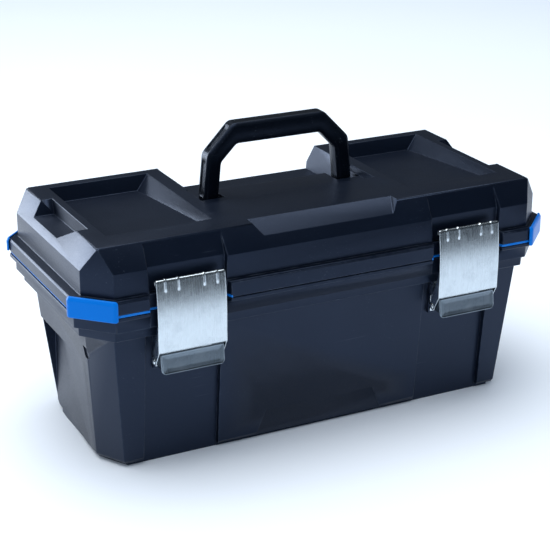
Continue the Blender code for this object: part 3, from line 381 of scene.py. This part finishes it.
def worn_edge_and_highlight_group():
    """A mask of the outward edges, broken up, where handling has rubbed the surface; it also paints
    highlights along the edges.

    The rounded normal turns away from the true one near an edge, and the mask is how far it turns.
    """
    group, graph, inputs, outputs = new_group(
        "worn_and_highlight_edges", {"Width": 0.0015, "Wear and Highlight": 1.0, "Breaks": 90.0}, {"Mask": FLOAT, "Rub": FLOAT})
    rounded = graph.add("ShaderNodeBevel", {"Radius": inputs.outputs["Width"]}, samples=4)
    true_normal = graph.add("ShaderNodeNewGeometry").outputs["Normal"]
    facing = graph.add("ShaderNodeVectorMath", {0: rounded.outputs[0], 1: true_normal},
                       operation="DOT_PRODUCT").outputs["Value"]
    edge = graph.ramp(facing, 0.995, 0.86)
    where = graph.object_place()
    breaks = graph.noise(where, inputs.outputs["Breaks"], 5.0, 0.65)
    broken = graph.math("MULTIPLY", edge, graph.ramp(breaks, 0.38, 0.68))
    graph.set(outputs, "Mask", graph.math("MULTIPLY", broken, inputs.outputs["Wear and Highlight"], clamp=True))
    graph.set(outputs, "Rub", graph.ramp(graph.noise(where, 14.0, 4.0, 0.6), 0.42, 0.72))
    return group


def handling_group():
    """Large soft blotches, fine dust specks and short scuffs left by handling."""
    group, graph, inputs, outputs = new_group(
        "handling", {"Scuff Length": 0.02}, {"Blotch": FLOAT, "Dust": FLOAT, "Scuffs": FLOAT})
    where = graph.object_place()
    blotch = graph.ramp(graph.noise(where, 6.0, 3.0, 0.55), 0.35, 0.65)
    specks = graph.ramp(graph.noise(where, 700.0, 2.0, 0.5), 0.66, 0.74)
    dust = graph.math("MULTIPLY", specks, graph.ramp(graph.noise(where, 22.0, 3.0), 0.5, 0.66))
    slanted = graph.add("ShaderNodeMapping", {"Vector": where, "Rotation": (0.3, 0.5, 0.7),
                                              "Scale": (30.0, 900.0, 900.0)}).outputs["Vector"]
    lines = graph.ramp(graph.noise(slanted, 1.0, 2.0, 0.4), 0.70, 0.76)
    patches = graph.ramp(graph.noise(where, 12.0, 2.0), 0.55, 0.7)
    graph.set(outputs, "Blotch", blotch)
    graph.set(outputs, "Dust", dust)
    graph.set(outputs, "Scuffs", graph.math("MULTIPLY", lines, patches))
    return group


def rolled_sheet_group():
    """Sheet metal: fine rolling lines up the sheet, zinc crystals, and small stains."""
    group, graph, inputs, outputs = new_group(
        "rolled_sheet", {"Line Width": 0.0003}, {"Lines": FLOAT, "Crystals": FLOAT, "Stains": FLOAT})
    where = graph.object_place()
    fine = graph.math("DIVIDE", 1.0, inputs.outputs["Line Width"])
    scale = graph.add("ShaderNodeCombineXYZ", {"X": fine, "Y": 60.0, "Z": 25.0}).outputs[0]
    lines = graph.noise(graph.add("ShaderNodeMapping", {"Vector": where, "Scale": scale}).outputs["Vector"],
                        1.0, 3.0, 0.6)
    crystal = graph.add("ShaderNodeTexVoronoi", {"Vector": where, "Scale": 320.0})
    tone = graph.add("ShaderNodeSeparateColor", {"Color": crystal.outputs["Color"]}).outputs[0]
    graph.set(outputs, "Lines", lines)
    graph.set(outputs, "Crystals", tone)
    graph.set(outputs, "Stains", graph.ramp(graph.noise(where, 60.0, 4.0, 0.6), 0.5, 0.75))
    return group


GRAIN = moulded_grain_group()
EDGES = worn_edge_and_highlight_group()
HANDLING = handling_group()
SHEET_METAL = rolled_sheet_group()


# ---- materials --------------------------------------------------------------------
def new_material(name):
    look = bpy.data.materials.new(name)
    look.use_nodes = True
    graph = Graph(look.node_tree)
    return look, graph, look.node_tree.nodes["Principled BSDF"]


def use_group(graph, group, **values):
    node = graph.add("ShaderNodeGroup", node_tree=group)
    for key, value in values.items():
        node.inputs[key.replace("_", " ")].default_value = value
    return node.outputs


def moulded_plastic(name, deep, pale, worn_and_highlight, rough, grain_size, grain_depth, gloss=0.5,
                    gloss_tint=(0.45, 0.61, 1.0), edge_width=0.0015):
    """Textured plastic: two close tones, pale edges that are partly rubbed wear and partly painted highlight,
    dust, scuffs and an eroded grain.
    """
    look, graph, shader = new_material(name)
    grain = use_group(graph, GRAIN, Grain_Size=grain_size)
    edges = use_group(graph, EDGES, Width=edge_width)
    marks = use_group(graph, HANDLING)
    tone = graph.mix(marks["Blotch"], (*deep, 1.0), (*pale, 1.0))
    # pale edges: partly rubbed wear, partly a painted highlight along every outward edge
    tone = graph.mix(graph.math("MULTIPLY", edges["Mask"], 0.45), tone, (*worn_and_highlight, 1.0))
    tone = graph.mix(graph.math("MULTIPLY", marks["Dust"], 0.25), tone, (*worn_and_highlight, 1.0))
    tone = graph.mix(graph.math("MULTIPLY", marks["Scuffs"], 0.22), tone, (*worn_and_highlight, 1.0))
    graph.set(shader, "Base Color", tone)
    roughness = graph.ramp(grain["Pores"], 0.0, 1.0, rough - 0.05, rough + 0.06)
    roughness = graph.math("SUBTRACT", roughness, graph.math("MULTIPLY", edges["Rub"], 0.06))
    roughness = graph.math("SUBTRACT", roughness, graph.math("MULTIPLY", edges["Mask"], 0.10))
    roughness = graph.math("ADD", roughness, graph.math("MULTIPLY", marks["Scuffs"], 0.12))
    graph.set(shader, "Roughness", roughness)
    shader.inputs["Specular IOR Level"].default_value = gloss
    shader.inputs["Specular Tint"].default_value = (*gloss_tint, 1.0)
    bump = graph.add("ShaderNodeBump", {"Height": grain["Height"], "Strength": 0.35,
                                        "Distance": grain_depth})
    graph.set(shader, "Normal", bump.outputs["Normal"])
    return look


def zinc_sheet(name, tint, rough, line_depth):
    """Bright zinc plate: crystals in the tint, rolling lines in the gloss, dull small stains."""
    look, graph, shader = new_material(name)
    sheet = use_group(graph, SHEET_METAL)
    edges = use_group(graph, EDGES, Width=0.0006, Breaks=260.0)
    dark = tuple(value * 0.90 for value in tint)
    tone = graph.mix(graph.math("MULTIPLY", sheet["Crystals"], 0.5), (*tint, 1.0), (*dark, 1.0))
    stain = (0.42, 0.47, 0.52, 1.0)
    tone = graph.mix(graph.math("MULTIPLY", sheet["Stains"], 0.20), tone, stain)
    # near-white edges: partly wear, partly a painted highlight along the sheet's edges
    tone = graph.mix(graph.math("MULTIPLY", edges["Mask"], 0.5), tone, (0.95, 0.97, 1.0, 1.0))
    graph.set(shader, "Base Color", tone)
    shader.inputs["Metallic"].default_value = 1.0
    roughness = graph.ramp(sheet["Lines"], 0.3, 0.7, rough - 0.05, rough + 0.07)
    roughness = graph.math("ADD", roughness, graph.math("MULTIPLY", sheet["Stains"], 0.07))
    graph.set(shader, "Roughness", roughness)
    bump = graph.add("ShaderNodeBump", {"Height": sheet["Lines"], "Strength": 0.3, "Distance": line_depth})
    graph.set(shader, "Normal", bump.outputs["Normal"])
    return look


SHELL_PLASTIC = moulded_plastic("shell_plastic", (0.0016, 0.0036, 0.0092), (0.0025, 0.0052, 0.0124),
                                (0.16, 0.19, 0.24), 0.40, 0.0009, 0.00010, 0.52)
GRIP_PLASTIC = moulded_plastic("grip_plastic", (0.0010, 0.0020, 0.0040), (0.0018, 0.0032, 0.0060),
                               (0.30, 0.34, 0.40), 0.34, 0.0012, 0.00012, 0.30)
BLUE_PLASTIC = moulded_plastic("blue_plastic", (0.000, 0.145, 0.56), (0.000, 0.160, 0.63),
                               (0.20, 0.48, 0.90), 0.36, 0.0008, 0.00006, 0.30, (0.2, 0.6, 1.0))
TRAY_PLASTIC = moulded_plastic("tray_plastic", (0.045, 0.052, 0.062), (0.060, 0.068, 0.080),
                               (0.30, 0.32, 0.36), 0.46, 0.0010, 0.00010, 0.35)
ZINC = zinc_sheet("zinc_sheet", (0.64, 0.71, 0.76), 0.24, 0.000012)
# A darker copy of the same zinc for the flap: painted shade, since the flap turns away from the light.
ZINC_PAINTED_SHADE = zinc_sheet("zinc_flap_painted_shade", (0.21, 0.26, 0.31), 0.30, 0.000015)


# ---- mouldings ----------------------------------------------------------------
def make_mouldings():
    softened("tub_moulding", "body_shell", 0.0008, SHELL_PLASTIC, "tub")
    softened("lid_moulding", "lid_shell", 0.0006, SHELL_PLASTIC, "lid")
    softened("seal_strip", "seal_band", 0.0005, BLUE_PLASTIC, "tub")
    softened("tray_moulding", "tray_shell", 0.0006, TRAY_PLASTIC, "tray")
    softened("tray_grip", "tray_handle", 0.0008, BLUE_PLASTIC, "tray_bail")
    for _, word in SIDES:
        softened(f"tray_wall_{word}", f"tray_divider_{word}", 0.0006, BLUE_PLASTIC, "tray")


CORNER_CUT = 0.0331         # of the blue corner's outer outline
CORNER_ARM = 0.0032
CORNER_SHEET = 0.0022


def make_corners():
    """Blue corners: a thick sheet bent round the cut corner of the rim, its top edge leaning in."""
    for side, word in SIDES:
        for end, row in ((-1, "front"), (1, "rear")):
            node = f"bumper_{row}_{word}"
            low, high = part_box(node)
            reach_x = max(abs(low.x), abs(high.x)) - CORNER_SHEET / 2
            reach_y = max(abs(low.y), abs(high.y)) - CORNER_SHEET / 2
            cut = CORNER_CUT - CORNER_SHEET / 2
            outline = [(reach_x, reach_y - cut - CORNER_ARM), (reach_x, reach_y - cut),
                       (reach_x - cut, reach_y), (reach_x - cut - CORNER_ARM, reach_y)]
            line = rounded_line(outline, 0.004, spacing=0.001) * np.array([side, end])
            if side * end < 0:
                line = line[::-1]

            def leaning_top(across, along, length, gap):
                near_top = np.clip((across - (high.z - low.z) / 2 + 0.0035) / 0.0035, 0.0, 1.0)
                return -0.0016 * near_top + 0 * along

            sheet = bent_sheet(line, high.z - low.z, CORNER_SHEET, 2, (low.z + high.z) / 2, leaning_top,
                               (0.0025, 0.0025), rows=90, columns=24)
            piece(f"blue_corner_{row}_{word}", [sheet], BLUE_PLASTIC, "lid", [node])


# ---- carrying handle ------------------------------------------------------------
BAIL_LEG = 0.016            # width of a leg seen from the front
BAIL_CHAMFER = 0.003
BAIL_PANEL = 0.0013         # depth of the sunk panels on the outer side


def smoothed(line, reach):
    """Corners rounded by a running mean over `reach` points to each side; the ends stay."""
    padded = np.concatenate([2 * line[:1] - line[reach:0:-1], line, 2 * line[-1:] - line[-2:-reach - 2:-1]])
    window = np.hanning(2 * reach + 3)[1:-1]
    window /= window.sum()
    return np.stack([np.convolve(padded[:, k], window, "valid") for k in range(2)], axis=1)


def through(corners, counts):
    """Points through corners, with a given number of steps between each two."""
    parts = [np.array(corners[:1], float)]
    for start, end, count in zip(corners, corners[1:], counts):
        share = np.linspace(0.0, 1.0, count + 1)[1:, None]
        parts.append(np.array(start) + (np.array(end) - np.array(start)) * share)
    return np.concatenate(parts)


def bail_section():
    """Round the section: shares of the flat half width and half depth, and of the chamfer, in each.

    A chamfer runs from side to side as the powers 1.6 of a sine and cosine, so its edges are soft.
    """
    turn = np.linspace(0.0, math.pi / 2, 8)
    bow, rise = np.cos(turn) ** 1.6, np.sin(turn) ** 1.6
    across = np.array([-0.9, -0.74, -0.66, -0.3, 0.0, 0.3, 0.66, 0.74, 0.9])
    parts = []
    for flat_x, flat_y in ((1, 1), (-1, 1), (-1, -1), (1, -1)):
        chamfer = np.stack([np.full(8, flat_x), flat_x * bow, np.full(8, flat_y), flat_y * rise], axis=1)
        parts.append(chamfer if flat_x * flat_y > 0 else chamfer[::-1])
    outer = np.stack([np.ones(9), np.ones(9), across, np.zeros(9)], axis=1)
    return np.concatenate(parts + [outer])


def make_bail():
    """The handle: a chamfered section carried between an outer and an inner line, with sunk panels.

    Both lines start at the foot of a leg, where a half circle closes the section, and have the same
    number of points.  The section's width is their distance, and its depth stays the same.
    """
    low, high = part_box("handle_bail")
    pivot = (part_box("handle_pin_left")[0].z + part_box("handle_pin_left")[1].z) / 2
    foot, leg = high.x - BAIL_LEG / 2, BAIL_LEG
    turn = np.radians(np.linspace(0.0, 90.0, 9))[:-1]
    round_foot = np.stack([leg / 2 * np.sin(turn), pivot - leg / 2 * np.cos(turn)], axis=1)
    counts = (8, 20, 18, 26)
    outer = through([(high.x, pivot), (high.x, pivot + 0.014), (high.x - 0.004, high.z - 0.029),
                     (high.x - 0.032, high.z), (0.0, high.z)], counts)
    inner = through([(high.x - leg, pivot), (high.x - leg, pivot + 0.014),
                     (high.x - leg - 0.003, high.z - 0.038), (high.x - leg - 0.020, high.z - 0.021),
                     (0.0, high.z - 0.021)], counts)
    outer = np.concatenate([round_foot + (foot, 0.0), outer])
    inner = np.concatenate([round_foot * (-1, 1) + (foot, 0.0), inner])
    lines = []
    for line in (outer, inner):
        whole = np.concatenate([line, (line[:-1] * (-1, 1))[::-1]])
        lines.append(smoothed(whole, 2))
    outer, inner = lines
    middle, width = (outer + inner) / 2, np.linalg.norm(outer - inner, axis=1) / 2
    away = (outer - inner) / np.maximum(2 * width, MERGE)[:, None]
    share_x, bow, share_y, rise = bail_section().T
    chamfer = np.minimum(BAIL_CHAMFER, width)[:, None]
    depth = (high.y - low.y) / 2
    sideways = share_x * (width[:, None] - chamfer) + bow * chamfer
    forwards = share_y * (depth - chamfer) + rise * chamfer
    place = np.abs(np.arange(len(middle)) - (len(middle) - 1) / 2)
    middle_place = place.max()
    corner_panel = (place > 28) & (place < 42)
    leg_panel = (place > 47) & (place < middle_place - 14)
    on_face = (rise == 0) & (np.abs(share_y) < 0.7) & (bow == 1)
    sideways = sideways - BAIL_PANEL * np.outer(corner_panel | leg_panel, on_face)
    flat = middle[:, None, :] + away[:, None, :] * sideways[..., None]
    points = np.empty(flat.shape[:2] + (3,))
    points[..., 0], points[..., 2] = flat[..., 0], flat[..., 1]
    points[..., 1] = (low.y + high.y) / 2 + forwards
    piece("carrying_handle", [solid((points, False, True))], GRIP_PLASTIC, "handle", ["handle_bail"],
          35.0)


# ---- pins -------------------------------------------------------------------------
def middle_of(node):
    low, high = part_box(node)
    return (low + high) / 2


def make_pins():
    """Hinge pins and handle pins: turned rods with chamfered ends."""
    for kind, body in (("hinge_pin", "tub"), ("handle_pin", "lid")):
        for _, word in SIDES:
            node = f"{kind}_{word}"
            low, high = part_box(node)
            centre = (0.0, (low.y + high.y) / 2, (low.z + high.z) / 2)
            shell = pin(low.x, high.x, (high.z - low.z) / 2, centre)
            piece(f"{node}_turned", [shell], ZINC, body, [node])


# ---- latches ------------------------------------------------------------------------
PLATE_SHEET = 0.0012
FLAP_SHEET = 0.0014
BEAD_HIGH = 0.0004
RIB_PLACES = (-0.0257, -0.01275, 0.01275, 0.0257)
RIB_HALF = 0.0015
RIB_HIGH = 0.0011
CURL_DEEP = 0.0038          # from the front of the plate's top to the back of its curl


def plate_relief(across, along, length, gap):
    """Four ribs over the top bend, and edges that lean back a little.

    A rib is a raised cosine across, fading out down the plate.
    """
    ribs = 0.0
    for place in RIB_PLACES:
        wave = 0.5 + 0.5 * np.cos(np.pi * np.clip((across - place) / RIB_HALF, -1.0, 1.0))
        ribs = ribs + wave
    window = smooth_step(along, 0.0035, 0.0060) * (1.0 - smooth_step(along, 0.0150, 0.0180))
    lean = -0.0005 * (1.0 - np.clip(gap / 0.0016, 0.0, 1.0)) ** 2
    return RIB_HIGH * ribs * window + lean


def flap_relief(across, along, length, gap):
    """A rolled bead just inside the flap's edge, and a gentle hollow between."""
    bead = BEAD_HIGH * np.exp(-((gap - 0.0011) / 0.0006) ** 2)
    return bead - 0.0002 * smooth_step(gap, 0.002, 0.006)


def make_hook(word, pull, swing):
    """The bowed plate with its curl, ribs and two arms, and the pin that carries it."""
    node = f"latch_{word}_hook"
    low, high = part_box(node)
    centre, width = (low.x + high.x) / 2, high.x - low.x
    front = low.y + PLATE_SHEET / 2
    top, bottom = high.z - PLATE_SHEET / 2, pull.z - 0.0048
    belly = top - 0.045
    height = np.linspace(top - 0.003, bottom, 40)
    bow = np.stack([front + 1.85 * (height - belly) ** 2, height], axis=1)
    back = bow[0, 0] + CURL_DEEP
    curl = rounded_line([(back, top - 0.0045), (back, top), (bow[0, 0] + 0.0004, top), tuple(bow[0])],
                        0.0019, spacing=0.0006)
    line = np.concatenate([curl[:-1], bow])
    sheet = bent_sheet(line, width, PLATE_SHEET, 0, centre, plate_relief, (0.0006, 0.0010),
                       rows=110, columns=130)
    shells = [sheet]
    arm = [(swing.y, swing.z, 0.0042), (front + 0.0012, pull.z - 0.0035, 0.0010),
           (front + 0.0010, pull.z + 0.0220, 0.0008)]
    for x in (low.x, high.x - PLATE_SHEET):
        shells.append(plate(arm, x, x + PLATE_SHEET, 0.0004))
    piece(f"latch_{word}_plate", shells, ZINC, f"latch_{word}_hook", [node], 35.0)
    pin_low, pin_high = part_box(f"latch_{word}_hook_pin")
    shell = pin(pin_low.x, pin_high.x, 0.0015, (0.0, swing.y, swing.z), (pin_high.z - pin_low.z) / 2, 0.0014)
    piece(f"latch_{word}_swing_pin", [shell], ZINC, f"latch_{word}_hook", [f"latch_{word}_hook_pin"])


def make_lever(word, pull, swing):
    """The flap with its rolled bead and rounded corners, and the two ears that carry both pins."""
    node = f"latch_{word}_lever"
    low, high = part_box(node)
    centre, width = (low.x + high.x) / 2, high.x - low.x
    front = low.y + FLAP_SHEET / 2 + BEAD_HIGH
    foot = low.z + BEAD_HIGH
    line = rounded_line([(front + 0.0030, pull.z - 0.0062), (front + 0.0003, foot + 0.0022),
                         (front, foot)], 0.002, spacing=0.0008)
    flap = bent_sheet(line, width, FLAP_SHEET, 0, centre, flap_relief, (0.0012, 0.0050), rows=50, columns=110)
    shells = [flap]
    ear = [(pull.y, pull.z, 0.0044), (swing.y, swing.z, 0.0044), (front + 0.0030, pull.z - 0.0085, 0.0010),
           (front + 0.0014, low.z + 0.0065, 0.0010)]
    for x in (low.x, high.x - FLAP_SHEET):
        shells.append(plate(ear, x, x + FLAP_SHEET, 0.0004))
    # the flap's darker zinc is painted shade on the same metal as the plate
    piece(f"latch_{word}_flap", shells, ZINC_PAINTED_SHADE, f"latch_{word}_lever", [node], 35.0)


def make_bracket(word, pull):
    """The riveted base plate with two upright ears, its rivets and the lever's pin."""
    node = f"latch_{word}_bracket"
    low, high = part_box(node)
    back = high.y
    shells = [bar((low.x, back - FLAP_SHEET, low.z), (high.x, back, high.z), 0.0006)]
    ear = [(pull.y, pull.z, 0.0042), (back - 0.0009, high.z - 0.0012, 0.0009),
           (back - 0.0009, high.z - 0.0150, 0.0009)]
    for x in (low.x, high.x - FLAP_SHEET):
        shells.append(plate(ear, x, x + FLAP_SHEET, 0.0004))
    piece(f"latch_{word}_base", shells, ZINC, "tub", [node], 35.0)
    pin_low, pin_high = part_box(f"latch_{word}_pivot_pin")
    shell = pin(pin_low.x, pin_high.x, (pin_high.z - pin_low.z) / 2, (0.0, pull.y, pull.z))
    piece(f"latch_{word}_pull_pin", [shell], ZINC, "tub", [f"latch_{word}_pivot_pin"])
    for place in ("a", "b"):
        rivet = f"latch_{word}_rivet_{place}"
        low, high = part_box(rivet)
        head, high_dome = (high.x - low.x) / 2, 0.0013
        rise = np.linspace(math.pi / 2, 0.0, 8)
        profile = [(low.y + high_dome * (1.0 - math.sin(a)), head * math.cos(a)) for a in rise]
        profile += [(low.y + high_dome, 0.0016), (high.y - 0.0004, 0.0016), (high.y, 0.0012), (high.y, 0.0)]
        spot = middle_of(rivet)
        shell = turned(profile, (spot.x, 0.0, spot.z), axis=1)
        piece(f"latch_{word}_rivet_head_{place}", [shell], ZINC, "tub", [rivet])


def make_latches():
    for _, word in SIDES:
        pull, swing = middle_of(f"latch_{word}_pivot_pin"), middle_of(f"latch_{word}_hook_pin")
        make_hook(word, pull, swing)
        make_lever(word, pull, swing)
        make_bracket(word, pull)


# ---- stage ----------------------------------------------------------------------
def area_light(name, place, target, size, power, tint, glossy_only=False):
    data = bpy.data.lights.new(name, "AREA")
    data.shape = "RECTANGLE"
    data.size, data.size_y = size
    data.energy = power
    data.color = tint
    lamp = bpy.data.objects.new(name, data)
    lamp.location = place
    lamp.rotation_euler = (Vector(target) - Vector(place)).to_track_quat("-Z", "Y").to_euler()
    lamp.visible_camera = False
    lamp.visible_diffuse = not glossy_only
    bpy.context.scene.collection.objects.link(lamp)


def make_lights():
    area_light("overhead", (-0.4, 0.35, 2.3), (0.0, 0.0, 0.0), (3.0, 2.6), 70.0, (0.93, 0.97, 1.0))
    area_light("rear_left", (-1.25, 1.15, 0.50), (0.0, 0.0, 0.15), (1.3, 1.0), 44.0, (0.86, 0.93, 1.0), True)


def make_card():
    """A dark card low in front, which the latch plates mirror above the pale floor."""
    look, _, shader = new_material("dark_card")
    shader.inputs["Base Color"].default_value = (0.02, 0.025, 0.03, 1.0)
    mesh = bpy.data.meshes.new("card")
    near, half, high = -0.75, 2.2, 1.6
    mesh.from_pydata([(-half, near, 0.0), (half, near, 0.0), (half, near, high), (-half, near, high)],
                     [], [(0, 1, 2, 3)])
    mesh.materials.append(look)
    card = bpy.data.objects.new("card", mesh)
    card.visible_camera = False
    card.visible_diffuse = False
    card.visible_shadow = False
    bpy.context.scene.collection.objects.link(card)


def make_world():
    """A pale backdrop for the eye, and a dimmer room for the reflections."""
    world = bpy.data.worlds.new("studio")
    world.use_nodes = True
    graph = Graph(world.node_tree)
    backdrop = world.node_tree.nodes["Background"]
    backdrop.inputs["Color"].default_value = (1.0, 1.0, 1.0, 1.0)
    backdrop.inputs["Strength"].default_value = 1.0
    room = graph.add("ShaderNodeBackground", {"Color": (0.80, 0.90, 1.0, 1.0), "Strength": 0.10})
    fill = graph.add("ShaderNodeBackground", {"Color": (0.72, 0.84, 1.0, 1.0), "Strength": 0.75})
    ray = graph.add("ShaderNodeLightPath").outputs
    unseen = graph.add("ShaderNodeMixShader",
                       {0: ray["Is Diffuse Ray"], 1: room.outputs[0], 2: fill.outputs[0]})
    mixed = graph.add("ShaderNodeMixShader",
                      {0: ray["Is Camera Ray"], 1: unseen.outputs[0], 2: backdrop.outputs[0]})
    graph.set(world.node_tree.nodes["World Output"], "Surface", mixed.outputs[0])
    bpy.context.scene.world = world


def make_floor():
    look, graph, shader = new_material("pale_floor")
    where = graph.object_place()
    tone = graph.mix(graph.noise(where, 3.0, 3.0), (0.88, 0.90, 0.93, 1.0), (0.91, 0.925, 0.95, 1.0))
    graph.set(shader, "Base Color", tone)
    shader.inputs["Roughness"].default_value = 0.7
    half = 6.0
    mesh = bpy.data.meshes.new("floor")
    mesh.from_pydata([(-half, -half, 0.0), (half, -half, 0.0), (half, half, 0.0), (-half, half, 0.0)],
                     [], [(0, 1, 2, 3)])
    mesh.materials.append(look)
    floor = bpy.data.objects.new("floor", mesh)
    bpy.context.scene.collection.objects.link(floor)


def make_camera():
    data = bpy.data.cameras.new("camera")
    data.sensor_width = 36.0
    data.lens = 104.57
    camera = bpy.data.objects.new("camera", data)
    right, up, ahead = (Vector((0.8926, -0.4509, 0.0018)), Vector((0.1627, 0.3258, 0.9314)),
                        Vector((0.4205, 0.8310, -0.3641)))
    turn = Matrix((right, up, -ahead)).transposed()
    camera.rotation_euler = turn.to_euler()
    camera.location = (-0.68833, -1.35058, 0.72258)
    bpy.context.scene.collection.objects.link(camera)
    bpy.context.scene.camera = camera


make_mouldings()
make_corners()
make_bail()
make_pins()
make_latches()
make_lights()
make_card()
make_world()
make_floor()
make_camera()
bpy.context.scene.view_settings.view_transform = "Standard"
